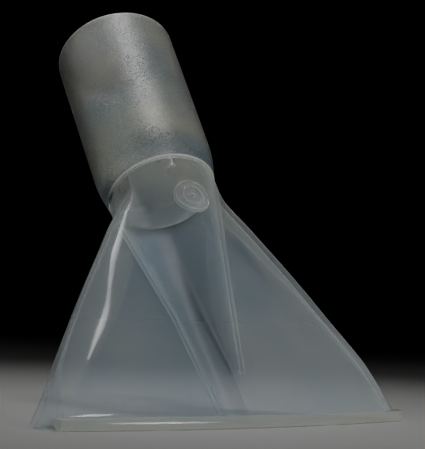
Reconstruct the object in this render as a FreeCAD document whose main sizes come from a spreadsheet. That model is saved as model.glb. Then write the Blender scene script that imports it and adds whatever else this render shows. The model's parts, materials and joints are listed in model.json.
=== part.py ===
import FreeCAD, Part
import os
import Sketcher

# A hand funnel of translucent polypropylene: a round spout tube, and a flat flared body that ends
# in a wide, curved slot mouth.
#
# World frame: +Z up, X across the mouth, -Y the front. The mouth stands on z = 0 and the origin is
# the centre of the funnel's plan. Every piece is drawn upright, with the tube's axis on Z and the
# point where that axis meets the mouth plane at zero, and its Placement then leans it back. In the
# upright frame "height" runs along the tube's axis and "depth" is the distance in front of that
# axis, negative behind it.

# Driving dimensions, in millimetres and degrees.
SIZES = {
    "lean_angle": 38.4,
    "wall": 1.6,
    "cutter_size": 300.0,
    # spout tube
    "tube_length": 85.0,
    "tube_foot_radius": 22.4,
    "tube_shoulder_radius": 25.1,
    "tube_shoulder_rise": 15.0,
    "tube_rim_radius": 26.3,
    "tube_bore_radius": 24.5,
    "tube_bore_depth": 20.0,
    # neck ring at the top of the body, and the spigot that the tube sits on
    "neck_height": 113.0,
    "neck_radius": 22.3,
    "neck_ring_height": 6.0,
    "spigot_length": 6.0,
    "spigot_lap": 5.0,
    "spigot_clearance": 0.05,
    # half-cones that carry the round neck down the front and the back panel
    "front_cone_low_height": 15.0,
    "front_cone_low_radius": 2.9,
    "front_cone_low_depth": 8.0,
    "back_cone_mid_height": 55.0,
    "back_cone_mid_radius": 9.3,
    "back_cone_mid_depth": -4.8,
    "back_cone_low_height": -14.0,
    "back_cone_low_radius": 5.2,
    "back_cone_low_depth": 1.6,
    # parting plane between the two shells
    "parting_depth": 0.3,
    # thick lip along the front of the mouth, drawn in plan
    "lip_height": 4.0,
    "lip_half_width": 70.4,
    "lip_front": 12.3,
    "lip_corner_y": -3.4,
    "lip_end_half_width": 68.6,
    "lip_end_y": 0.6,
    "lip_back_y": 9.0,
    # V-shaped notch at each end of the mouth, where the two shells meet
    "notch_start": 60.0,
    "notch_width": 7.0,
    "notch_tip_width": 0.6,
    "notch_rise": 2.6,
    # gate mark on the front of the neck: a flat pad, a dimple in it and the trimmed gate
    "gate_height": 93.0,
    "gate_depth": 20.75,
    "gate_tilt": 7.1,
    "gate_pad_radius": 6.2,
    "gate_pad_thickness": 2.0,
    "gate_dimple_radius": 3.6,
    "gate_dimple_depth": 0.6,
    "gate_nub_radius": 0.8,
    "gate_nub_length": 1.2,
}

# Cross-sections of the flared body, from the neck to below the mouth. crease is the sharp side
# edge, panel the border of the front panel and corner the back side edge (half-width x, depth d);
# front_d and back_d are the depths of the two panels on the centre line.
STATIONS = {
    "top": {"height": 108.0, "panel_x": 16.0, "panel_d": 10.0, "crease_x": 20.6, "crease_d": 7.8,
            "corner_x": 20.6, "corner_d": -7.0, "front_d": 10.4, "back_d": -9.0},
    "throat": {"height": 102.0, "panel_x": 18.6, "panel_d": 9.8, "crease_x": 21.8, "crease_d": 7.7,
               "corner_x": 22.2, "corner_d": -6.6, "front_d": 10.2, "back_d": -8.8},
    "waist": {"height": 60.0, "panel_x": 30.3, "panel_d": 7.6, "crease_x": 46.3, "crease_d": 3.9,
              "corner_x": 47.4, "corner_d": -5.2, "front_d": 8.4, "back_d": -7.4},
    "kink": {"height": 27.0, "panel_x": 48.0, "panel_d": 4.6, "crease_x": 63.2, "crease_d": 2.2,
             "corner_x": 65.6, "corner_d": -5.4, "front_d": 8.1, "back_d": -4.4},
    "low": {"height": -20.0, "panel_x": 66.0, "panel_d": 1.2, "crease_x": 69.0, "crease_d": 0.3,
            "corner_x": 91.0, "corner_d": -12.0, "front_d": 8.5, "back_d": 0.6},
}

ACROSS = FreeCAD.Vector(1, 0, 0)

doc = FreeCAD.newDocument("Funnel")
sheet = doc.addObject("Spreadsheet::Sheet", "Sizes")


def fill_sheet():
    cells = dict(SIZES)
    for station, values in STATIONS.items():
        for name, value in values.items():
            cells[station + "_" + name] = value
    for row, (name, value) in enumerate(cells.items(), start=1):
        sheet.set("A%d" % row, name)
        sheet.set("B%d" % row, str(value))
        sheet.setAlias("B%d" % row, name)
    doc.recompute()


def size(name):
    return float(sheet.get(name))


# ------------------------------------------------------------------ building blocks, bound to the sheet

def bind(item, prop, rule):
    """Bind one property to the sheet; a name in the rule that is a cell gets the sheet's prefix."""
    item.setExpression(prop, rule.replace("#", "Sizes."))


def turned(item, rule):
    """Turn an item about X, by an angle bound to the sheet."""
    item.Placement = FreeCAD.Placement(item.Placement.Base, FreeCAD.Rotation(ACROSS, 10))
    bind(item, "Placement.Rotation.Angle", rule)
    return item


def placed(item, depth="0", height="0"):
    bind(item, "Placement.Base.y", "-(%s)" % depth)
    bind(item, "Placement.Base.z", height)
    return item


def cylinder(name, radius, length, depth="0", height="0"):
    item = doc.addObject("Part::Cylinder", name)
    bind(item, "Radius", radius)
    bind(item, "Height", length)
    return placed(item, depth, height)


def cone(name, low_radius, high_radius, length, height):
    item = doc.addObject("Part::Cone", name)
    bind(item, "Radius1", low_radius)
    bind(item, "Radius2", high_radius)
    bind(item, "Height", length)
    return placed(item, "0", height)


def ring_edge(name, radius, depth, height):
    item = doc.addObject("Part::Circle", name)
    bind(item, "Radius", radius)
    return placed(item, depth, height)


def loft(name, sections):
    item = doc.addObject("Part::Loft", name)
    item.Sections = sections
    item.Solid = True
    item.Ruled = True
    return item


def fused(name, *pieces):
    item = doc.addObject("Part::MultiFuse", name)
    item.Shapes = list(pieces)
    return item


def shared(name, *pieces):
    item = doc.addObject("Part::MultiCommon", name)
    item.Shapes = list(pieces)
    return item


def without(name, base, tool):
    item = doc.addObject("Part::Cut", name)
    item.Base = base
    item.Tool = tool
    return item


# ------------------------------------------------------------------ cross-sections of the flared body

START, END = 1, 2        # the two ends of an edge in a sketch
ORIGIN = (-1, 1)         # a sketch's own origin
DEPTH_AXIS = -2          # a sketch's own Y axis, which is the body's centre line

# How far each vertex of a section moves for one wall: towards the centre line, and in depth.
INSET = {"panel": (0.4, 1.0), "crease": (1.5, 0.6), "corner": (1.5, -1.0)}


def arc(right, middle, left):
    """Arc through three points drawn counter-clockwise, and its right and its left end."""
    points = [FreeCAD.Vector(*right), FreeCAD.Vector(*middle), FreeCAD.Vector(*left)]
    if (points[1] - points[0]).cross(points[2] - points[1]).z > 0:
        return Part.Arc(*points), START, END
    return Part.Arc(*reversed(points)), END, START


def line(start, end):
    return Part.LineSegment(FreeCAD.Vector(*start), FreeCAD.Vector(*end))


def constrain(sketch, kind, places, value, rule):
    index = sketch.addConstraint(Sketcher.Constraint(kind, *places, value))
    bind(sketch, "Constraints[%d]" % index, rule)


def section(station, walls):
    """Closed outline at one station, drawn a number of walls inside the outer faces."""
    cell = "#" + station + "_"
    inset = size("wall") * walls
    vertex, rules = {}, {}
    for name, (inwards, deeper) in INSET.items():
        vertex[name] = (size(station + "_" + name + "_x") - inwards * inset,
                        -size(station + "_" + name + "_d") + deeper * inset)
        rules[name] = ("%s%s_x - #wall * %g" % (cell, name, inwards * walls),
                       "-%s%s_d + #wall * %g" % (cell, name, deeper * walls))
    mirror = {name: (-x, y) for name, (x, y) in vertex.items()}
    front, front_right, front_left = arc(vertex["panel"], (0, -size(station + "_front_d") + inset),
                                         mirror["panel"])
    back, back_right, back_left = arc(vertex["corner"], (0, -size(station + "_back_d") - inset),
                                      mirror["corner"])

    sketch = doc.addObject("Sketcher::SketchObject", station + ("_inside" if walls else "_outside"))
    bind(sketch, "Placement.Base.z", cell + "height")
    sketch.addGeometry([front, line(vertex["panel"], vertex["crease"]),
                        line(vertex["crease"], vertex["corner"]), back,
                        line(mirror["corner"], mirror["crease"]),
                        line(mirror["crease"], mirror["panel"])])
    front_arc, wing, side, back_arc, left_side, left_wing = range(6)
    for pair in (((front_arc, front_right), (wing, START)), ((wing, END), (side, START)),
                 ((side, END), (back_arc, back_right)), ((back_arc, back_left), (left_side, START)),
                 ((left_side, END), (left_wing, START)), ((left_wing, END), (front_arc, front_left))):
        sketch.addConstraint(Sketcher.Constraint("Coincident", *pair[0], *pair[1]))
    ends = {"panel": ((wing, START), (left_wing, END)), "crease": ((wing, END), (left_side, END)),
            "corner": ((side, END), (left_side, START))}
    for name, (right, left) in ends.items():
        for kind, value, rule in zip(("DistanceX", "DistanceY"), vertex[name], rules[name]):
            constrain(sketch, kind, ORIGIN + right, value, rule)
        sketch.addConstraint(Sketcher.Constraint("Symmetric", *right, *left, DEPTH_AXIS))
    for edge, name, centre in ((front_arc, "panel", "front_d"), (back_arc, "corner", "back_d")):
        half = "(%s)" % rules[name][0]
        rise = "(%s%s - %s%s_d)" % (cell, centre, cell, name)
        rule = "abs((%s * %s + %s * %s) / (2 * %s))" % (half, half, rise, rise, rise)
        constrain(sketch, "Radius", (edge,), sketch.Geometry[edge].Radius, rule)
    return sketch


def lip_outline():
    """Plan of the thick front lip: a long bowed front, rounded ends and a straight back."""
    half, front, corner_y = size("lip_half_width"), -size("lip_front"), size("lip_corner_y")
    end_half, end_y, back_y = size("lip_end_half_width"), size("lip_end_y"), size("lip_back_y")
    sketch = doc.addObject("Sketcher::SketchObject", "lip_outline")
    bow, bow_right, bow_left = arc((end_half, corner_y), (0, front), (-end_half, corner_y))
    sketch.addGeometry([bow, line((end_half, corner_y), (half, end_y)),
                        line((half, end_y), (end_half, back_y)),
                        line((end_half, back_y), (-end_half, back_y)),
                        line((-end_half, back_y), (-half, end_y)),
                        line((-half, end_y), (-end_half, corner_y))])
    for before, after in ((1, 2), (2, 3), (3, 4), (4, 5)):
        sketch.addConstraint(Sketcher.Constraint("Coincident", before, END, after, START))
    sketch.addConstraint(Sketcher.Constraint("Coincident", 0, bow_right, 1, START))
    sketch.addConstraint(Sketcher.Constraint("Coincident", 0, bow_left, 5, END))
    points = (((1, START), (5, END), "#lip_end_half_width", "#lip_corner_y", end_half, corner_y),
              ((1, END), (4, END), "#lip_half_width", "#lip_end_y", half, end_y),
              ((2, END), (3, END), "#lip_end_half_width", "#lip_back_y", end_half, back_y))
    for right, left, across_rule, back_rule, across, back in points:
        constrain(sketch, "DistanceX", ORIGIN + right, across, across_rule)
        constrain(sketch, "DistanceY", ORIGIN + right, back, back_rule)
        sketch.addConstraint(Sketcher.Constraint("Symmetric", *right, *left, DEPTH_AXIS))
    rise = "(#lip_front + #lip_corner_y)"
    rule = "(#lip_end_half_width * #lip_end_half_width + %s * %s) / (2 * %s)" % (rise, rise, rise)
    constrain(sketch, "Radius", (0,), sketch.Geometry[0].Radius, rule)
    return sketch


# ------------------------------------------------------------------ the two shells of the body

def half_cone(side, walls):
    """The cone that carries the round neck down one panel; the shell keeps only its outer half."""
    inset = " - #wall * %d" % walls
    rings = [ring_edge("%s_cone_top_%d" % (side, walls), "#neck_radius" + inset, "0",
                       "#neck_height - #neck_ring_height")]
    for place in ("mid", "low"):
        cell = "#%s_cone_%s_" % (side, place)
        if cell[1:] + "height" in SIZES:
            closed_end = " + #wall * %d" % walls if side == "front" else ""
            rings.append(ring_edge("%s_cone_%s_%d" % (side, place, walls), cell + "radius" + inset,
                                   cell + "depth", cell + "height" + closed_end))
    return loft("%s_cone_%d" % (side, walls), rings)


def half_space(name, angle, depth="0"):
    """A block so large that only its flat end matters: the end faces down at 0 degrees."""
    return turned(cylinder(name, "#cutter_size", "#cutter_size", depth), angle)


def shell(side, angle, *extras):
    """One shell: flare, neck and cone, hollowed, cut off at the mouth and at the parting plane."""
    ring = cylinder(side + "_neck_ring", "#neck_radius", "#neck_ring_height", "0",
                    "#neck_height - #neck_ring_height")
    neck_bore = cylinder(side + "_neck_bore", "#neck_radius - #wall", "#neck_ring_height + #wall", "0",
                         "#neck_height - #neck_ring_height")
    hull = fused(side + "_hull", flares[0], half_cone(side, 0), ring, *extras)
    hollow = fused(side + "_hollow", flares[1], half_cone(side, 1), neck_bore)
    walls = without(side + "_walls", hull, hollow)
    standing = without(side + "_standing", walls, below_mouth)
    notched = without(side + "_notched", standing, mouth_notches)
    return shared(side + "_half_shell", notched, half_space(side + "_half", angle, "#parting_depth"))


def lip():
    band = doc.addObject("Part::Extrusion", "lip_band")
    band.Base = lip_outline()
    band.DirMode = "Custom"
    band.Dir = FreeCAD.Vector(0, 0, 1)
    band.Solid = True
    bind(band, "LengthFwd", "#lip_height")
    return turned(band, "#lean_angle")


def notch(name, inner, outer):
    """V-shaped groove up into the mouth's rim, between two distances from the centre line."""
    wedge = doc.addObject("Part::Wedge", name)
    limits = {"Xmin": inner, "Xmax": outer, "X2min": inner, "X2max": outer,
              "Ymin": "0", "Ymax": "#notch_rise",
              "Zmin": "-#notch_width / 2", "Zmax": "#notch_width / 2",
              "Z2min": "-#notch_tip_width / 2", "Z2max": "#notch_tip_width / 2"}
    for prop, rule in limits.items():
        bind(wedge, prop, rule)
    return turned(wedge, "90 + #lean_angle")


def gate_part(name, radius, length, sink):
    """A short cylinder square to the front cone's ridge, its outer end sunk below the pad's face."""
    part = cylinder("gate_" + name, radius, length, "#gate_depth - (%s) - (%s)" % (sink, length),
                    "#gate_height")
    return turned(part, "90 + #gate_tilt")


def lean(item, label):
    """Lean a finished piece back, and move it so that the funnel's plan is centred on the origin."""
    item.Label = label
    item.Placement = FreeCAD.Placement(FreeCAD.Vector(), FreeCAD.Rotation(ACROSS, -10))
    bind(item, "Placement.Rotation.Angle", "-#lean_angle")
    back_reach = "(#neck_height + #tube_length) * sin(#lean_angle) + #tube_rim_radius * cos(#lean_angle)"
    bind(item, "Placement.Base.y", "-(%s - #lip_front) / 2" % back_reach)
    return item


def front_shell():
    pad = gate_part("pad", "#gate_pad_radius", "#gate_pad_thickness", "0")
    dimple = gate_part("dimple", "#gate_dimple_radius", "#gate_dimple_depth + 1", "-1")
    nub = gate_part("nub", "#gate_nub_radius", "#gate_nub_length", "-#gate_nub_length / 2")
    plain = shell("front", "90", lip(), pad)
    return lean(fused("front_marked", without("front_dimpled", plain, dimple), nub), "front_shell")


def back_shell():
    """The back shell carries the whole spigot; a thicker root joins the spigot to its neck."""
    plain = shell("back", "-90")
    base = "#neck_height - #spigot_lap"
    tube = cylinder("spigot_outside", "#neck_radius - #wall - #spigot_clearance",
                    "#spigot_lap + #spigot_length", "0", base)
    root_block = cylinder("spigot_root_block", "#neck_radius - #wall / 2", "#spigot_lap - 0.5", "0", base)
    root = shared("spigot_root", root_block, doc.getObject("back_half"))
    bore = cylinder("spigot_bore", "#neck_radius - 2 * #wall", "3 * #spigot_lap + #spigot_length", "0",
                    base + " - #spigot_lap")
    spigot = without("spigot", fused("spigot_solid", tube, root), bore)
    return lean(fused("back_with_spigot", plain, spigot), "back_shell")


# ------------------------------------------------------------------ the spout tube

def spout_tube():
    foot, shoulder = "#neck_height", "#neck_height + #tube_shoulder_rise"
    rim = "#neck_height + #tube_length"
    outside = fused("tube_outside",
                    cone("tube_foot", "#tube_foot_radius", "#tube_shoulder_radius",
                         "#tube_shoulder_rise", foot),
                    cone("tube_barrel", "#tube_shoulder_radius", "#tube_rim_radius",
                         "#tube_length - #tube_shoulder_rise", shoulder))
    socket = "#neck_radius - #wall"
    inner_shoulder = "#tube_shoulder_radius - #wall"
    inside = fused("tube_inside",
                   cylinder("tube_socket", socket, "#spigot_length + 1", "0", foot + " - 0.5"),
                   cone("tube_throat", socket, inner_shoulder, "#tube_shoulder_rise - #spigot_length",
                        foot + " + #spigot_length + 0.5"),
                   cone("tube_taper", inner_shoulder, "#tube_bore_radius",
                        "#tube_length - #tube_shoulder_rise - #tube_bore_depth - 0.5",
                        shoulder + " + 0.5"),
                   cylinder("tube_bore", "#tube_bore_radius", "#tube_bore_depth + 1", "0",
                            rim + " - #tube_bore_depth"))
    return lean(without("tube", outside, inside), "spout_tube")


fill_sheet()
flares = [loft("flare_%d" % walls, [section(station, walls) for station in STATIONS])
          for walls in (0, 1)]
below_mouth = half_space("below_mouth", "180 + #lean_angle")
mouth_notches = fused("mouth_notches", notch("notch_right", "#notch_start", "#cutter_size"),
                      notch("notch_left", "-#cutter_size", "-#notch_start"))
pieces = [spout_tube(), back_shell(), front_shell()]
doc.recompute()

failed = [item.Name for item in doc.Objects if "Invalid" in item.State or "Error" in item.State]
if failed:
    raise RuntimeError("these objects failed: " + ", ".join(failed))
for piece in pieces:
    if piece.Shape.isNull() or not piece.Shape.isValid() or len(piece.Shape.Solids) != 1:
        raise RuntimeError(piece.Label + " is not one valid solid")

os.makedirs("parts", exist_ok=True)
for piece in pieces:
    piece.Shape.exportStep("parts/%s.step" % piece.Label)
    box = piece.Shape.optimalBoundingBox()
    print(piece.Label, round(piece.Shape.Volume), [round(v, 1) for v in (
        box.XMin, box.XMax, box.YMin, box.YMax, box.ZMin, box.ZMax)])
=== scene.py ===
import json
import math

import bmesh
import bpy
from mathutils import Matrix, Vector


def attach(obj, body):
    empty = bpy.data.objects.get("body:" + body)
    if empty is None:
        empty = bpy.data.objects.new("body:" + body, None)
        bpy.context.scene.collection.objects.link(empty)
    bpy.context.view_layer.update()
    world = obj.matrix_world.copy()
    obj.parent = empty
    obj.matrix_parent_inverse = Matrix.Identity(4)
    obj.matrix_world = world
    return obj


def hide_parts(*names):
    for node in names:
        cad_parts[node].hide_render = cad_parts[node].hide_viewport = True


# A translucent hand funnel: a frosted spout tube above a polished, flared body with a slot mouth.
# Lengths are in millimetres in an upright frame, as in the part's source: "height" runs along the
# tube's axis, "depth" is the distance in front of that axis, and place() gives the spot in the frame.

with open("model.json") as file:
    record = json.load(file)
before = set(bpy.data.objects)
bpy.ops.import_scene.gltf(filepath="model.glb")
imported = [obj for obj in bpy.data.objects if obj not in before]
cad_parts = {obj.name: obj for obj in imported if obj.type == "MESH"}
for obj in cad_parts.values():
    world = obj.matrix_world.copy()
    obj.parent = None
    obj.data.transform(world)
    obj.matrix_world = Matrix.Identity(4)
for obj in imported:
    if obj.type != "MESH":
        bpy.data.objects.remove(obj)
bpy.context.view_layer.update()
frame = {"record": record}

MM = 0.001
WALL = 1.6
BORE = next(m for m in frame["record"]["mounts"] if m["name"] == "spout_bore")
LEAN = math.atan2(BORE["axis"][1], BORE["axis"][2])
TUBE_TOP = BORE["pos_m"][2] / MM / math.cos(LEAN) + BORE["dims"]["length_mm"] / 2
SHIFT = BORE["pos_m"][1] / MM - (TUBE_TOP - BORE["dims"]["length_mm"] / 2) * math.sin(LEAN)
BORE_RADIUS = BORE["dims"]["r_mm"]
TUBE_AXIS = Vector((0, math.sin(LEAN), math.cos(LEAN)))
FRONT_AXIS = Vector((0, -math.cos(LEAN), math.sin(LEAN)))

NECK_TOP = TUBE_TOP - 85.0
NECK_RADIUS = 22.3
NECK_RING = 6.0


def place(x, depth, height):
    """A point of the upright frame, in metres in the shared frame."""
    return Vector((x, SHIFT + height * math.sin(LEAN) - depth * math.cos(LEAN),
                   height * math.cos(LEAN) + depth * math.sin(LEAN))) * MM


# ------------------------------------------------------------------ the body's section by height

# Key points of the front section at each height: panel is where the flat panel ends and the rounded
# wing begins, crease the sharp side edge. Half-width x and depth.
FRONT = {
    # height: centre depth, panel x, panel depth, crease x, crease depth, wing power
    113: (11.1, 19.3, 11.1, 20.8, 8.1, 2.0),
    107: (11.1, 19.3, 11.1, 20.8, 8.1, 2.0),
    103: (10.8, 19.6, 10.8, 21.2, 8.1, 3.0),
    98: (10.5, 20.1, 10.5, 24.2, 7.6, 4.0),
    90: (10.0, 21.5, 10.0, 30.0, 7.0, 5.0),
    75: (9.2, 24.8, 9.0, 38.6, 6.1, 5.0),
    60: (8.6, 30.3, 7.9, 47.1, 4.5, 3.5),
    45: (8.3, 38.3, 6.7, 54.7, 3.0, 2.6),
    28: (8.2, 50.0, 5.4, 62.4, 2.2, 2.5),
    24: (8.2, 53.0, 5.1, 63.6, 2.2, 2.4),
    12: (8.3, 61.6, 3.8, 65.4, 2.4, 2.0),
    -12: (8.4, 65.6, 2.9, 66.6, 2.6, 2.0),
}
WING_START = 0.1        # how much the wing falls for each millimetre where it leaves the panel
# Key points of the back section: corner is the rounded back edge of each side.
BACK = {
    # height: centre depth, corner x, corner depth, side bulge
    113: (-9.0, 20.9, -7.7, 1.45),
    107: (-9.0, 20.9, -7.7, 1.45),
    102: (-8.8, 22.2, -6.9, 1.1),
    90: (-8.5, 29.2, -5.8, 0.5),
    60: (-7.4, 46.6, -5.2, 0.3),
    27: (-4.4, 64.9, -5.5, 0.4),
    12: (-2.2, 73.4, -8.0, 0.6),
    -12: (-0.2, 86.0, -11.4, 0.8),
}


def smooth(table, height):
    """Values at a height: a smooth curve through the table's rows that never overshoots them."""
    heights = sorted(table)
    height = min(max(height, heights[0]), heights[-1])
    i = max(k for k in range(len(heights) - 1) if heights[k] <= height)
    span = heights[i + 1] - heights[i]
    t = (height - heights[i]) / span

    def slope(k, column):
        if k in (0, len(heights) - 1):
            return 0.0
        rises = [(table[heights[j + 1]][column] - table[heights[j]][column])
                 / (heights[j + 1] - heights[j]) for j in (k - 1, k)]
        return 0.0 if rises[0] * rises[1] <= 0 else 2 * rises[0] * rises[1] / sum(rises)

    values = []
    for column in range(len(table[heights[0]])):
        low, high = table[heights[i]][column], table[heights[i + 1]][column]
        values.append(low * (1 + 2 * t) * (1 - t) ** 2 + high * t * t * (3 - 2 * t)
                      + span * slope(i, column) * t * (1 - t) ** 2
                      - span * slope(i + 1, column) * t * t * (1 - t))
    return values


def mix(a, b, t):
    return a + (b - a) * t


def ease(t):
    t = min(max(t, 0.0), 1.0)
    return t * t * (3 - 2 * t)


# The front half-cone ends in a small flat face above the lip; the back one runs out at the mouth.
# BACK_CONE gives the radius and the depth of its axis by height. In every function, walls is 0 for
# the outside of the wall and 1 for its inside.
CONE_TOP = NECK_TOP - NECK_RING
FRONT_CONE_END, FRONT_CONE_RADIUS, FRONT_CONE_DEPTH = 15.0, 2.9, 8.2
BACK_CONE = {113: (22.3, 0.0), 107: (22.3, 0.0), 55: (9.3, -4.8), -14: (5.2, 1.6)}


def front_cone(height, walls):
    """Radius and depth of the front half-cone's axis."""
    t = min(max((height - FRONT_CONE_END) / (CONE_TOP - FRONT_CONE_END), 0.0), 1.0)
    return mix(FRONT_CONE_RADIUS, NECK_RADIUS, t) - walls * WALL, mix(FRONT_CONE_DEPTH, 0.0, t)


def back_cone(height, walls):
    """Radius and depth of the back half-cone's axis."""
    heights = sorted(BACK_CONE)
    i = max(k for k in range(len(heights) - 1) if heights[k] <= max(height, heights[0]))
    t = (height - heights[i]) / (heights[i + 1] - heights[i])
    radius, depth = (mix(a, b, min(t, 1.0)) for a, b in zip(BACK_CONE[heights[i]],
                                                           BACK_CONE[heights[i + 1]]))
    return radius - walls * WALL, depth


PARTING = 0.3           # depth of the plane where the two shells meet
BEND = 6                # steps in each soft corner
FRONT_COUNTS = [22, 14, 16, 8]
BACK_COUNTS = [20, 26, 14]
# How far the inside of the wall is set in at the sharp side edge, as a share of the wall.
SIDE_INSET, CREASE_INSET, PANEL_INSET = 1.15, 0.8, 0.4
LONGEST_CUT = 0.42      # most of a curve that one soft corner may take
HALVINGS = 40


def rounded(first, second, reach):
    """Join two curves with a soft corner; each curve is a function of 0 to 1, end to start."""
    corner = first(1.0)
    length = [sum(math.dist(curve(i / 8), curve((i + 1) / 8)) for i in range(8))
              for curve in (first, second)]
    cut = [min(reach / max(span, 1e-6), LONGEST_CUT) for span in length]
    a, b = first(1 - cut[0]), second(cut[1])
    bend = []
    for i in range(1, BEND):
        t = i / BEND
        bend.append(tuple((1 - t) ** 2 * p + 2 * t * (1 - t) * q + t * t * r
                          for p, q, r in zip(a, corner, b)))
    return cut[0], cut[1], bend


def chained(curves, counts, reaches):
    """Sample a run of curves that meet end to end, with a soft corner at each meeting."""
    cuts = [rounded(curves[i], curves[i + 1], reaches[i]) for i in range(len(curves) - 1)]
    points = []
    for i, curve in enumerate(curves):
        low = cuts[i - 1][1] if i else 0.0
        high = 1 - cuts[i][0] if i < len(cuts) else 1.0
        points += [curve(mix(low, high, k / counts[i])) for k in range(counts[i] + 1)]
        if i < len(cuts):
            points += cuts[i][2]
    return points


def meeting(arc, panel, facing):
    """The angle at which a half-cone's arc meets the panel; facing is 1 in front and -1 behind."""
    low, high = 0.0, math.pi / 2
    for _ in range(HALVINGS):
        middle = (low + high) / 2
        x, depth = arc(middle)
        low, high = (middle, high) if facing * depth > facing * panel(x) else (low, middle)
    return low


def front_section(height, walls):
    """Half of the front section from the centre line to the parting plane, as (x, depth) pairs."""
    inset = walls * WALL
    centre, panel_x, panel_d, crease_x, crease_d, power = smooth(FRONT, height)
    _, corner_x, corner_d, side_bulge = smooth(BACK, height)
    centre, panel_d, panel_x = centre - inset, panel_d - inset, panel_x - PANEL_INSET * inset
    crease_x, crease_d = crease_x - SIDE_INSET * inset, crease_d - CREASE_INSET * inset
    corner_x = corner_x - SIDE_INSET * inset
    radius, axis = front_cone(height, walls)

    def panel_depth(x):
        return centre - (centre - panel_d) * (x / panel_x) ** 2

    def arc(angle):
        return radius * math.sin(angle), axis + radius * math.cos(angle)

    foot_angle = meeting(arc, panel_depth, 1)
    foot_x = min(arc(foot_angle)[0], panel_x - 0.02)

    def cone_curve(t):
        return arc(foot_angle * t)

    def flat_curve(t):
        return foot_x * t, panel_depth(foot_x * t)

    def panel_curve(t):
        x = mix(foot_x, panel_x, t)
        return x, panel_depth(x)

    def wing_curve(t):
        fall = WING_START * (crease_x - panel_x)
        return mix(panel_x, crease_x, t), panel_d - fall * t - (panel_d - fall - crease_d) * t ** power

    def side_curve(t):
        depth = mix(crease_d, PARTING, t)
        share = (crease_d - depth) / (crease_d - corner_d)
        return mix(crease_x, corner_x, share) + 4 * side_bulge * share * (1 - share), depth

    above = height - FRONT_CONE_END - inset
    share = 0.0 if above < 0.01 else 1 - 0.35 * (1 - min(above / 0.9, 1.0)) ** 2

    def ridge_curve(t):
        return tuple(mix(p, q, share) for p, q in zip(flat_curve(t), cone_curve(t)))

    return chained([ridge_curve, panel_curve, wing_curve, side_curve], FRONT_COUNTS, [0.9, 1.6, 0.8])


def back_section(height, walls):
    """Half of the back section from the centre line to the parting plane, as (x, depth) pairs."""
    inset = walls * WALL
    _, _, _, crease_x, crease_d, _ = smooth(FRONT, height)
    centre, corner_x, corner_d, side_bulge = smooth(BACK, height)
    crease_x, crease_d = crease_x - SIDE_INSET * inset, crease_d - CREASE_INSET * inset
    corner_x, corner_d, centre = corner_x - SIDE_INSET * inset, corner_d + inset, centre + inset
    radius, axis = back_cone(height, walls)

    def panel_depth(x):
        return centre + (corner_d - centre) * (x / corner_x) ** 2

    def arc(angle):
        return radius * math.sin(angle), axis - radius * math.cos(angle)

    foot_angle = meeting(arc, panel_depth, -1)
    foot_x = min(arc(foot_angle)[0], corner_x - 0.02)

    def panel_curve(t):
        x = mix(foot_x, corner_x, t)
        return x, panel_depth(x)

    def side_curve(t):
        depth = mix(corner_d, PARTING, t)
        share = (crease_d - depth) / (crease_d - corner_d)
        return mix(crease_x, corner_x, share) + 4 * side_bulge * share * (1 - share), depth

    return chained([lambda t: arc(foot_angle * t), panel_curve, side_curve], BACK_COUNTS, [0.9, 3.2])


# ------------------------------------------------------------------ meshes

SHARP_ANGLE = 40.0      # edges that turn more than this stay crisp
WELD = 1e-7


def new_mesh(name, points, faces):
    mesh = bpy.data.meshes.new(name)
    mesh.from_pydata(points, [], faces)
    work = bmesh.new()
    work.from_mesh(mesh)
    bmesh.ops.remove_doubles(work, verts=work.verts, dist=WELD)
    bmesh.ops.dissolve_degenerate(work, edges=work.edges, dist=WELD)
    bmesh.ops.recalc_face_normals(work, faces=work.faces)
    work.to_mesh(mesh)
    work.free()
    mesh.shade_smooth()
    item = bpy.data.objects.new(name, mesh)
    bpy.context.scene.collection.objects.link(item)
    mesh.set_sharp_from_angle(angle=math.radians(SHARP_ANGLE))
    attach(item, "root")
    return item


def wall_mesh(name, outer, inner):
    """A closed wall between two grids of points; a grid is a list of columns from top to bottom."""
    rows = len(outer[0])
    loops = [a + b[::-1] for a, b in zip(outer, inner)]
    points = [p for loop in loops for p in loop]
    size = 2 * rows
    faces = []
    for c in range(len(loops) - 1):
        for r in range(size):
            s = (r + 1) % size
            faces.append((c * size + r, c * size + s, (c + 1) * size + s, (c + 1) * size + r))
    for c, flip in ((0, True), (len(loops) - 1, False)):
        for r in range(rows - 1):
            face = (c * size + r, c * size + r + 1, c * size + size - 2 - r, c * size + size - 1 - r)
            faces.append(face[::-1] if flip else face)
    return new_mesh(name, points, faces)


def lathe(name, profile, axis_point, segments=160):
    """Turn a closed profile of (radius, height) pairs about an axis; axis_point places each point."""
    points, faces = [], []
    count = len(profile)
    for s in range(segments):
        angle = 2 * math.pi * s / segments
        points += [axis_point(r * math.sin(angle), r * math.cos(angle), h) for r, h in profile]
    for s in range(segments):
        for i in range(count):
            j, n = (i + 1) % count, (s + 1) % segments
            faces.append((s * count + i, s * count + j, n * count + j, n * count + i))
    return new_mesh(name, points, faces)


# ------------------------------------------------------------------ the two shells of the body

CUT = 13.5              # below this height the rows follow the mouth plane
LIP = 4.0               # height of the lip above the table
LIP_FRONT, LIP_CORNER_X, LIP_CORNER_Y = 12.3, 68.6, 3.4
LIP_SIDE_X, NOTCH = 70.6, 2.6


def upper_heights(walls):
    """Row heights from the neck down to the cut, closer together where the shape turns quickly."""
    end = FRONT_CONE_END + walls * WALL
    rows = [NECK_TOP - 0.25 * k for k in (0, 1, 3)]
    rows += [NECK_TOP - 2 - 1.25 * k for k in range(20)]
    rows += [mix(rows[-1] - 2, 34.0, k / 26) for k in range(27)]
    rows += [mix(33.0, end + 1.6, k / 14) for k in range(15)]
    return rows + [end + step for step in (0.9, 0.5, 0.2, 0.02, 0.0)] + [end - 0.3]


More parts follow.
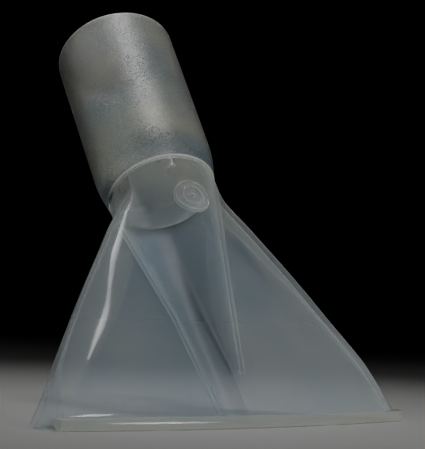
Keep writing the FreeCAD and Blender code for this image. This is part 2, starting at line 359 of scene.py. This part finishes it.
class Column:
    """One column of a shell below the cut: where it is at each height, and where it meets a level."""

    def __init__(self, samples, index):
        self.points = [section[index] for section in samples]

    def at(self, height):
        step = min(max((CUT + 1 - height), 0.0), len(self.points) - 1.001)
        i = int(step)
        return tuple(mix(p, q, step - i) for p, q in zip(self.points[i], self.points[i + 1]))

    def level(self, z):
        """The point (x, depth, height) of this column at a level above the table."""
        height = z / math.cos(LEAN)
        for _ in range(12):
            x, depth = self.at(height)
            height = (z - depth * math.sin(LEAN)) / math.cos(LEAN)
        return x, depth, height


def plan(x, depth, height):
    """Plan position of an upright point, before the shift: x and the distance back."""
    return x, height * math.sin(LEAN) - depth * math.cos(LEAN)


def from_plan(x, back, z):
    """A point given in plan and by its level above the table, as a place in the shared frame."""
    return Vector((x, back + SHIFT, z)) * MM


def columns_of(section, walls):
    samples = [section(CUT + 1 - step, walls) for step in range(28)]
    return [Column(samples, i) for i in range(len(samples[0]))]


def mirrored(half):
    """Add the other half, so that the columns run from the left parting plane to the right one."""
    left = [[Vector((-p.x, p.y, p.z)) for p in column] for column in half[:0:-1]]
    return left + half


def upper_grid(section, walls):
    sections = [(height, section(height, walls)) for height in upper_heights(walls)]
    return [[place(*points[i], height) for height, points in sections] for i in range(len(sections[0][1]))]


def lip_edge(x, side):
    """Plan of the lip's face for a column at x; side runs from 0 at the crease to 1 at the parting."""
    if side <= 0:
        across = x * LIP_CORNER_X / 66.4
        return across, -LIP_FRONT + (LIP_FRONT - LIP_CORNER_Y) * (across / LIP_CORNER_X) ** 2
    turn = 2 * side * (1 - side)
    return (mix(LIP_CORNER_X, LIP_SIDE_X, side) + turn * 1.2,
            mix(-LIP_CORNER_Y, 1.4, side) - turn * 0.6)


def front_lower(walls, column, side):
    """Rows of one front column below the cut: the wall, and on the outside the thick lip."""
    rise = NOTCH * ease((side - 0.35) / 0.65)
    top_height = upper_heights(walls)[-1]
    height = column.level(LIP + 0.7)[2]
    rows = [place(*column.at(mix(top_height, height, k / 6)), mix(top_height, height, k / 6))
            for k in range(1, 7)]
    steps = ((0.06, 4.12), (0.25, 4.0), (0.75, 4.0), (0.93, 3.86), (1.0, 3.45), (1.0, 2.0), (1.0, 0.8),
             (0.94, 0.25), (0.8, 0.0))
    for out, z in steps:
        z = rise + z * (LIP - rise) / LIP
        x, depth, height = column.level(z)
        if walls:
            rows.append(place(x, depth, height))
        else:
            wall, edge = plan(x, depth, height), lip_edge(x, side)
            rows.append(from_plan(mix(wall[0], edge[0], out), mix(wall[1], edge[1], out), z))
    return rows


def back_lower(walls, column, side):
    """Rows of one back column below the cut; the rim lifts at the toe and at the notch."""
    x_rim = column.level(0.0)[0]
    rise = max(NOTCH * ease((side - 0.45) / 0.55), 1.3 * ease((x_rim - 71.0) / 5.0))
    top_height = upper_heights(walls)[-1]
    low_height = column.level(rise)[2]
    heights = [mix(top_height, low_height, k / 14) for k in range(1, 14)] + [low_height + 0.25, low_height]
    return [place(*column.at(height), height) for height in heights]


def shares(counts, length):
    """For each column, how far along the side wall it is: 0 before the side wall starts."""
    start = length - counts[-1] - 1
    return [max((i - start) / counts[-1], 0.0) for i in range(length)]


def shell(name, section, counts, lower):
    grids = []
    for walls in (0, 1):
        columns = columns_of(section, walls)
        sides = shares(counts, len(columns))
        top = upper_grid(section, walls)
        grids.append(mirrored([rows + lower(walls, column, side)
                               for rows, column, side in zip(top, columns, sides)]))
    return wall_mesh(name, *grids)


# ------------------------------------------------------------------ the round pieces

def along_tube(x, depth, height):
    return place(x, depth, NECK_TOP + height)


def spout_tube():
    length = TUBE_TOP - NECK_TOP
    outside = [(22.2, 0.0), (22.55, 0.06), (22.78, 0.3), (22.88, 0.8)]
    outside += [(mix(22.9, 25.25, math.sin(math.pi / 2 * k / 10)), 1.4 + 15.6 * k / 10) for k in range(11)]
    outside += [(mix(25.3, 26.3, k / 12), mix(19.0, length - 0.9, k / 12)) for k in range(13)]
    rim = [(26.24, length - 0.4), (26.0, length - 0.1), (25.6, length), (25.2, length),
           (24.8, length - 0.12), (24.55, length - 0.4)]
    inside = [(BORE_RADIUS, length - 1.0), (BORE_RADIUS, length - 10), (BORE_RADIUS, length - 20)]
    inside += [(mix(BORE_RADIUS, 23.6, k / 8), mix(length - 20.5, 17.0, k / 8)) for k in range(9)]
    inside += [(mix(23.6, 20.75, ease(k / 6)), mix(16.0, 7.5, k / 6)) for k in range(7)]
    inside += [(20.7, 6.6), (20.7, 3.0), (20.75, 0.3), (21.0, 0.0)]
    return lathe("spout_tube_skin", outside + rim + inside, along_tube)


def spigot():
    outer, inner = NECK_RADIUS - WALL - 0.05, NECK_RADIUS - 2 * WALL
    profile = [(inner, -4.9), (outer - 0.3, -5.0), (outer, -4.7), (outer, 0.0), (outer, 5.6),
               (outer - 0.3, 6.0), (inner + 0.3, 6.0), (inner, 5.7), (inner, 0.0)]
    return lathe("spigot_ring", profile, along_tube)


def gate_mark():
    """The moulding gate on the front half-cone: a raised ring, a dimple and the broken-off gate."""
    height = 93.0
    radius, axis = front_cone(height, 0)
    tilt = math.atan2(NECK_RADIUS - FRONT_CONE_RADIUS - FRONT_CONE_DEPTH, CONE_TOP - FRONT_CONE_END)
    sunk = 0.5

    def on_ridge(x, up, out):
        out -= sunk + x * x / (2 * radius)
        return place(x, axis + radius + up * math.sin(tilt) + out * math.cos(tilt),
                     height + up * math.cos(tilt) - out * math.sin(tilt))

    profile = [(0.0, -0.9), (6.6, -0.9), (7.3, -0.7), (7.5, 0.2), (7.45, 0.5), (7.25, 0.72), (6.95, 0.72),
               (6.75, 0.55), (6.55, 0.42), (4.7, 0.4), (4.4, 0.5), (4.1, 0.5), (3.8, 0.1), (3.4, -0.15),
               (2.4, -0.25), (1.4, -0.25), (1.1, -0.1), (0.95, 0.35), (0.8, 0.85), (0.4, 1.1), (0.0, 1.14)]
    return lathe("gate_mark", profile, on_ridge, 96)


WING_LEAD, WING_FADE = 0.3, 1.2     # the mark starts this far before the wing, and is full after this


def mark_wing_shading(item):
    """Tell the material where the curved wings are; there it paints them hazier and greyer, painted
    shading for the paler look of the slanted wings.
    """
    mark = item.data.attributes.new("mark", "FLOAT", "POINT")
    for vertex in item.data.vertices:
        height = vertex.co.dot(TUBE_AXIS) / MM - place(0, 0, 0).dot(TUBE_AXIS) / MM
        panel_x = smooth(FRONT, height)[1]
        past = abs(vertex.co.x) / MM - panel_x + WING_LEAD
        mark.data[vertex.index].value = ease(past / WING_FADE)


# Radius halfway through the spout's wall, by height above the neck.
MID_WALL = {0: (22.3,), 1: (21.8,), 7: (22.4,), 12: (23.6,), 17: (24.4,), 22: (24.8,), 86: (25.2,)}


def mark_bore(item):
    """Tell the material which side of the spout's wall is the smoother, duller bore."""
    mark = item.data.attributes.new("mark", "FLOAT", "POINT")
    foot = along_tube(0, 0, 0)
    for vertex in item.data.vertices:
        reach = vertex.co - foot
        height = reach.dot(TUBE_AXIS)
        radius = (reach - TUBE_AXIS * height).length
        limit = smooth(MID_WALL, height / MM)[0]
        mark.data[vertex.index].value = 1.0 if radius / MM < limit else 0.0


# ------------------------------------------------------------------ materials

FRONT_FADE = (-6, 4)    # depths between which a band that is only in front fades in


def node(tree, kind, **values):
    item = tree.nodes.new("ShaderNode" + kind)
    for key, value in values.items():
        if hasattr(item, key):
            setattr(item, key, value)
        else:
            item.inputs[key.replace("_", " ")].default_value = value
    return item


def plastic(name, look):
    """Milky see-through plastic: haze over a clear wall, thicker to the eye where it is seen edge on."""
    material = bpy.data.materials.new(name)
    material.use_nodes = True
    tree = material.node_tree
    tree.nodes.clear()
    link = tree.links.new
    where = node(tree, "TexCoord").outputs["Object"]

    cloud = node(tree, "TexNoise", Scale=look["cloud_scale"], Detail=3.0, Roughness=0.5)
    grain = node(tree, "TexNoise", Scale=look["grain_scale"], Detail=2.0, Roughness=0.6)
    link(where, cloud.inputs["Vector"])
    link(where, grain.inputs["Vector"])

    facing = node(tree, "LayerWeight", Blend=0.5)
    edge = node(tree, "Math", operation="POWER")
    edge.inputs[1].default_value = look["edge_power"]
    link(facing.outputs["Facing"], edge.inputs[0])
    haze = node(tree, "MapRange", clamp=True)
    haze.inputs["To Min"].default_value = look["haze"]
    haze.inputs["To Max"].default_value = look["edge_haze"]
    link(edge.outputs[0], haze.inputs["Value"])
    patchy = node(tree, "MapRange")
    patchy.inputs["From Min"].default_value = 0.3
    patchy.inputs["From Max"].default_value = 0.7
    patchy.inputs["To Min"].default_value = 1 - look["patchy"]
    patchy.inputs["To Max"].default_value = 1 + look["patchy"]
    link(cloud.outputs["Fac"], patchy.inputs["Value"])
    solid = node(tree, "Math", operation="MULTIPLY", use_clamp=True)
    link(haze.outputs["Result"], solid.inputs[0])
    link(patchy.outputs["Result"], solid.inputs[1])
    solid = solid.outputs[0]

    tint = node(tree, "MixRGB")
    tint.inputs["Color1"].default_value = (*look["colour"], 1)
    tint.inputs["Color2"].default_value = (*look["warm_colour"], 1)
    warmth = node(tree, "MapRange", clamp=True)
    warmth.inputs["From Min"].default_value = 0.36
    warmth.inputs["From Max"].default_value = 0.62
    link(cloud.outputs["Fac"], warmth.inputs["Value"])
    link(warmth.outputs["Result"], tint.inputs["Fac"])
    tint = tint.outputs["Color"]
    mark = None
    # Where the mark is set, add haze and mix toward warm_colour; on the front shell this is painted
    # shading on the wings.
    if look["marked"]:
        mark = node(tree, "Attribute", attribute_name="mark")
        marked_haze = node(tree, "Math", operation="MULTIPLY_ADD", use_clamp=True)
        marked_haze.inputs[1].default_value = look["marked"]
        link(mark.outputs["Fac"], marked_haze.inputs[0])
        link(solid, marked_haze.inputs[2])
        solid = marked_haze.outputs[0]
        greyer = node(tree, "MixRGB")
        greyer.inputs["Color2"].default_value = (*look["warm_colour"], 1)
        link(mark.outputs["Fac"], greyer.inputs["Fac"])
        link(tint, greyer.inputs["Color1"])
        tint = greyer.outputs["Color"]
    edge_tint = node(tree, "MixRGB")
    edge_tint.inputs["Color2"].default_value = (*look["edge_colour"], 1)
    link(edge.outputs[0], edge_tint.inputs["Fac"])
    link(tint, edge_tint.inputs["Color1"])
    tint = edge_tint.outputs["Color"]
    polish = None
    for axis, start, end, added_haze, band_colour, dulling, front_only in look["thick"]:
        # Bands of denser, paler plastic: the lip is a heavier moulding, while the bands at the spout's
        # rims are painted highlights for light caught on the rim edges.
        along = node(tree, "VectorMath", operation="DOT_PRODUCT")
        along.inputs[1].default_value = axis
        link(where, along.inputs[0])
        fade = node(tree, "MapRange", clamp=True, interpolation_type="SMOOTHSTEP")
        fade.inputs["From Min"].default_value = end
        fade.inputs["From Max"].default_value = start
        link(along.outputs["Value"], fade.inputs["Value"])
        fade = fade.outputs["Result"]
        if front_only:
            toward_front = node(tree, "VectorMath", operation="DOT_PRODUCT")
            toward_front.inputs[1].default_value = FRONT_AXIS
            link(where, toward_front.inputs[0])
            near = node(tree, "MapRange", clamp=True)
            near.inputs["From Min"].default_value = place(0, FRONT_FADE[0], 0).dot(FRONT_AXIS)
            near.inputs["From Max"].default_value = place(0, FRONT_FADE[1], 0).dot(FRONT_AXIS)
            near.inputs["To Min"].default_value = 0.1
            link(toward_front.outputs["Value"], near.inputs["Value"])
            kept = node(tree, "Math", operation="MULTIPLY")
            link(fade, kept.inputs[0])
            link(near.outputs["Result"], kept.inputs[1])
            fade = kept.outputs[0]
        added = node(tree, "Math", operation="MULTIPLY_ADD", use_clamp=True)
        added.inputs[1].default_value = added_haze
        link(fade, added.inputs[0])
        link(solid, added.inputs[2])
        solid = added.outputs[0]
        paler = node(tree, "MixRGB")
        paler.inputs["Color2"].default_value = (*band_colour, 1)
        link(fade, paler.inputs["Fac"])
        link(tint, paler.inputs["Color1"])
        tint = paler.outputs["Color"]
        if dulling:
            matt = node(tree, "Math", operation="MULTIPLY_ADD")
            matt.inputs[1].default_value = -dulling
            matt.inputs[2].default_value = 1.0
            link(fade, matt.inputs[0])
            polish = matt.outputs[0]

    bump = node(tree, "Bump", Strength=look["bump"], Distance=0.00035)
    link(grain.outputs["Fac"], bump.inputs["Height"])
    gloss_grain = node(tree, "MapRange")
    gloss_grain.inputs["To Min"].default_value = look["roughness"] * 0.8
    gloss_grain.inputs["To Max"].default_value = look["roughness"] * 1.2
    link(grain.outputs["Fac"], gloss_grain.inputs["Value"])

    lit = node(tree, "BsdfDiffuse")
    glow = node(tree, "BsdfTranslucent")
    clear = node(tree, "BsdfTransparent").outputs[0]
    if look["blur"]:
        # What is behind frosted plastic is blurred, and lamps still shine through it.
        bent = node(tree, "BsdfRefraction", Roughness=look["blur"], IOR=1.15)
        link(bump.outputs["Normal"], bent.inputs["Normal"])
        seen = node(tree, "MixShader")
        link(node(tree, "LightPath").outputs["Is Shadow Ray"], seen.inputs["Fac"])
        link(bent.outputs[0], seen.inputs[1])
        link(clear, seen.inputs[2])
        clear = seen.outputs[0]
    shine = node(tree, "BsdfAnisotropic")
    for shader in (lit, glow):
        link(tint, shader.inputs["Color"])
    link(gloss_grain.outputs["Result"], shine.inputs["Roughness"])
    for shader in (lit, glow, shine):
        link(bump.outputs["Normal"], shader.inputs["Normal"])

    milk = node(tree, "MixShader")
    milk.inputs["Fac"].default_value = look["glow"]
    link(lit.outputs[0], milk.inputs[1])
    link(glow.outputs[0], milk.inputs[2])
    body = node(tree, "MixShader")
    link(solid, body.inputs["Fac"])
    link(clear, body.inputs[1])
    link(milk.outputs[0], body.inputs[2])
    fresnel = node(tree, "Fresnel", IOR=1.49)
    link(bump.outputs["Normal"], fresnel.inputs["Normal"])
    # The far face of each wall is seen from inside the plastic, so it adds no second reflection.
    near_side = node(tree, "Math", operation="SUBTRACT")
    near_side.inputs[0].default_value = 1.0
    link(node(tree, "NewGeometry").outputs["Backfacing"], near_side.inputs[1])
    gloss = node(tree, "Math", operation="MULTIPLY")
    link(fresnel.outputs[0], gloss.inputs[0])
    link(near_side.outputs[0], gloss.inputs[1])
    dulled = node(tree, "Math", operation="MULTIPLY")
    sparkle = node(tree, "MapRange", clamp=True)
    sparkle.inputs["From Min"].default_value = 0.40
    sparkle.inputs["From Max"].default_value = 0.62
    sparkle.inputs["To Min"].default_value = look["polish"] * (1 - look["sparkle"])
    sparkle.inputs["To Max"].default_value = look["polish"] * (1 + look["sparkle"])
    link(grain.outputs["Fac"], sparkle.inputs["Value"])
    link(gloss.outputs[0], dulled.inputs[0])
    link(sparkle.outputs["Result"], dulled.inputs[1])
    if polish:
        last = node(tree, "Math", operation="MULTIPLY")
        link(dulled.outputs[0], last.inputs[0])
        link(polish, last.inputs[1])
        dulled = last
    if look["marked"] < 0:
        rest = node(tree, "Math", operation="SUBTRACT", use_clamp=True)
        rest.inputs[0].default_value = 1.0
        link(mark.outputs["Fac"], rest.inputs[1])
        last = node(tree, "Math", operation="MULTIPLY")
        link(dulled.outputs[0], last.inputs[0])
        link(rest.outputs[0], last.inputs[1])
        dulled = last
    surface = node(tree, "MixShader")
    link(dulled.outputs[0], surface.inputs["Fac"])
    link(body.outputs[0], surface.inputs[1])
    link(shine.outputs[0], surface.inputs[2])
    link(surface.outputs[0], node(tree, "OutputMaterial").inputs["Surface"])
    return material


def along_axis(height):
    """How far a height on the tube lies along the leaning axis, in scene units."""
    return along_tube(0, 0, height).dot(TUBE_AXIS)


def band(axis, start, end, added_haze, colour, dulling=0.0, front_only=False):
    """A denser band of plastic, or a clearer one, along an axis: full at start and gone at end."""
    return axis, start, end, added_haze, colour, dulling, front_only


RIM_TOP = TUBE_TOP - NECK_TOP
LIP_BAND = band((0, 0, 1), 3.6 * MM, 4.4 * MM, added_haze=0.22, colour=(0.80, 0.82, 0.74))
# Painted highlight: a near-white band, only in front, for light caught on the edge at the spout's foot.
LOW_RIM_HIGHLIGHT = band(TUBE_AXIS, along_axis(0.35), along_axis(0.75), added_haze=0.8,
               colour=(1.0, 1.0, 0.96), front_only=True)
# Painted highlight: a near-white band all round for light caught on the spout's top rim.
TOP_RIM_HIGHLIGHT = band(TUBE_AXIS, along_axis(RIM_TOP - 0.7), along_axis(RIM_TOP - 1.4), added_haze=0.8,
               colour=(1.0, 1.0, 0.97))
NECK_BAND = band(TUBE_AXIS, along_axis(-8), along_axis(-40), added_haze=0.06,
                 colour=(0.66, 0.70, 0.66), dulling=0.8)
LOW_CLEAR = band(TUBE_AXIS, along_axis(4), along_axis(17), added_haze=-0.05, colour=(0.44, 0.57, 0.64))
NECK_END = band(TUBE_AXIS, along_axis(-0.6), along_axis(-3.0), added_haze=-0.85,
                colour=(0.6, 0.7, 0.7), dulling=0.9)

# "marked" is the haze added where the mesh's own mark is set; below zero it takes haze and gloss away. On
# the front shell this is painted shading that makes the wings paler and greyer.
CLEAR = {"colour": (0.56, 0.74, 0.88), "warm_colour": (0.76, 0.84, 0.86),
         "edge_colour": (0.92, 0.95, 0.92), "haze": 0.13, "edge_haze": 0.85, "edge_power": 2.7,
         "patchy": 0.14, "cloud_scale": 22, "grain_scale": 420, "bump": 0.02, "roughness": 0.065,
         "polish": 1.0, "sparkle": 0.0, "glow": 0.35, "blur": 0.0, "marked": 0.03,
         "thick": [LIP_BAND, NECK_BAND]}
CLEAR_BACK = {**CLEAR, "marked": 0, "haze": 0.10, "roughness": 0.4, "polish": 0.8, "thick": [NECK_END]}
RING = {**CLEAR_BACK, "haze": 0.0, "edge_haze": 0.03, "polish": 0.1, "thick": []}
# Painted highlight: the gate ring gets a near-white colour and full haze where it is seen edge on,
# standing in for light caught on the ring's edges.
GATE_PAINTED_HIGHLIGHT = {**CLEAR, "marked": 0, "colour": (0.95, 0.98, 0.98), "warm_colour": (1, 1, 0.98),
        "haze": 0.02, "edge_haze": 1.0, "edge_power": 1.5, "thick": []}
FROSTED = {"colour": (0.41, 0.55, 0.60), "warm_colour": (0.76, 0.75, 0.62),
           "edge_colour": (0.70, 0.72, 0.66), "haze": 0.29, "edge_haze": 0.8, "edge_power": 1.8,
           "patchy": 0.2, "cloud_scale": 30, "grain_scale": 1600, "bump": 0.6, "roughness": 0.28,
           "polish": 1.7, "sparkle": 0.8, "glow": 0.2, "blur": 0.12, "marked": -0.6,
           "thick": [LOW_CLEAR, LOW_RIM_HIGHLIGHT, TOP_RIM_HIGHLIGHT]}


# ------------------------------------------------------------------ stage, lights and camera

def stage_floor():
    reach, steps = 6.0, 96
    points = [(reach * math.sin(2 * math.pi * k / steps), reach * math.cos(2 * math.pi * k / steps), 0)
              for k in range(steps)]
    mesh = bpy.data.meshes.new("floor")
    mesh.from_pydata(points, [], [tuple(range(steps - 1, -1, -1))])
    item = bpy.data.objects.new("floor", mesh)
    bpy.context.scene.collection.objects.link(item)
    material = bpy.data.materials.new("floor_paint")
    material.use_nodes = True
    shader = material.node_tree.nodes["Principled BSDF"]
    shader.inputs["Base Color"].default_value = (0.55, 0.55, 0.54, 1)
    shader.inputs["Roughness"].default_value = 0.7
    mesh.materials.append(material)


def soft_light(name, spot, aim, size, power, spread):
    data = bpy.data.lights.new(name, "AREA")
    data.shape = "RECTANGLE"
    data.size, data.size_y = size
    data.energy = power
    data.spread = math.radians(spread)
    item = bpy.data.objects.new(name, data)
    item.location = spot
    item.rotation_euler = (Vector(aim) - Vector(spot)).to_track_quat("-Z", "Y").to_euler()
    bpy.context.scene.collection.objects.link(item)


def camera():
    """A low viewpoint, in front and to the left, with a slight tilt."""
    yaw, pitch, roll = 0.50528, 0.0709, 0.0206
    spot = Vector((-0.20784, -0.43399, 0.03912))
    look = Vector((math.sin(yaw) * math.cos(pitch), math.cos(yaw) * math.cos(pitch), math.sin(pitch)))
    level_right = Vector((math.cos(yaw), -math.sin(yaw), 0))
    level_up = level_right.cross(look)
    right = level_right * math.cos(roll) + level_up * math.sin(roll)
    up = level_up * math.cos(roll) - level_right * math.sin(roll)
    data = bpy.data.cameras.new("camera")
    data.lens = 94.39
    data.shift_x, data.shift_y = -0.0494432, 0.0154788
    data.clip_start = 0.01
    item = bpy.data.objects.new("camera", data)
    turn = Matrix((right, up, -look)).transposed()
    item.matrix_world = Matrix.Translation(spot) @ turn.to_4x4()
    bpy.context.scene.collection.objects.link(item)
    bpy.context.scene.camera = item


def backdrop():
    world = bpy.data.worlds.new("studio")
    world.use_nodes = True
    world.node_tree.nodes["Background"].inputs["Color"].default_value = (0.0004, 0.0004, 0.0004, 1)
    bpy.context.scene.world = world


front = shell("front_shell_skin", front_section, FRONT_COUNTS, front_lower)
back = shell("back_shell_skin", back_section, BACK_COUNTS, back_lower)
tube, ring, gate = spout_tube(), spigot(), gate_mark()
for piece, slot, name, look in ((front, "clear_front", "clear_front", CLEAR),
                                (gate, "clear_front", "gate_painted_highlight", GATE_PAINTED_HIGHLIGHT),
                                (back, "clear_back", "clear_back", CLEAR_BACK),
                                (ring, "clear_back", "ring_plastic", RING),
                                (tube, "frosted_plastic", "frosted_plastic", FROSTED)):
    piece.data.materials.append(plastic(name, look))
mark_wing_shading(front)
mark_bore(tube)
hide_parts("front_shell")
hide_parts("back_shell")
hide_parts("spout_tube")

stage_floor()
backdrop()
soft_light("overhead", (0.02, -0.06, 1.05), (0.0, -0.02, 0.0), (0.08, 0.6), 0.24, 38)
soft_light("front", (0.25, -1.3, 0.26), (0, 0, 0.10), (0.6, 0.3), 0.21, 26)
soft_light("left", (-0.9, -0.25, 0.45), (0, 0, 0.10), (0.5, 0.5), 0.04, 30)
soft_light("behind", (0.25, 0.9, 0.5), (0, 0, 0.12), (0.7, 0.4), 0.012, 30)
camera()
